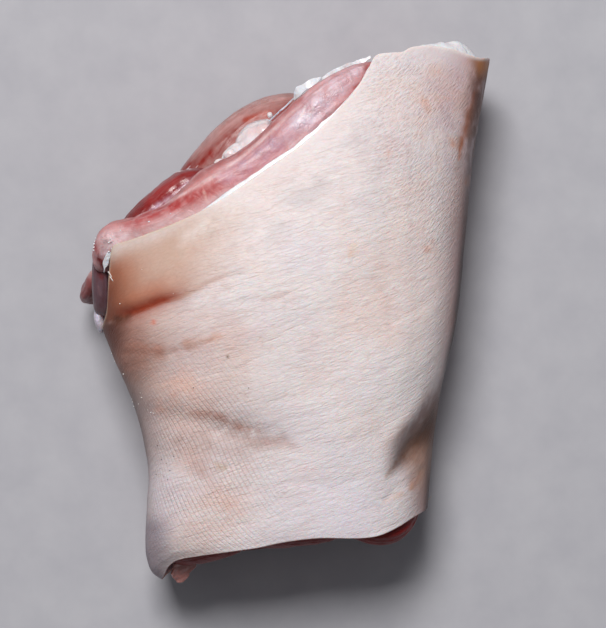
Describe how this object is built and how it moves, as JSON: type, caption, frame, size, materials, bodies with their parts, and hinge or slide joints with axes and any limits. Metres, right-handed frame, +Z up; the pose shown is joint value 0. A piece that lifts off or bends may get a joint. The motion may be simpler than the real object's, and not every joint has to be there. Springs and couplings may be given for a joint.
{
  "type": "bacon hock",
  "caption": "Raw hock of pork or bacon on the bone, lying on its side: pale wrinkled rind round pink muscle, cut square at the narrow end and slanting at the wide end.",
  "frame": {"origin": "on the table under the middle of the bounding box", "axes": "+Z up from the table the hock lies on, +Y along the leg from the narrow sawn end to the wide slanting cut, +X across the leg to its right edge as seen from above"},
  "size_m": [0.1493, 0.1934, 0.0861],
  "materials": {
    "rind": "satin, moist, finely wrinkled",
    "bone": "satin, moist",
    "flesh": "wet, glossy",
    "fat": "satin, moist"
  },
  "bodies": {
    "root": {"hock": "rind", "bone": "bone"}
  },
  "joints": []
}
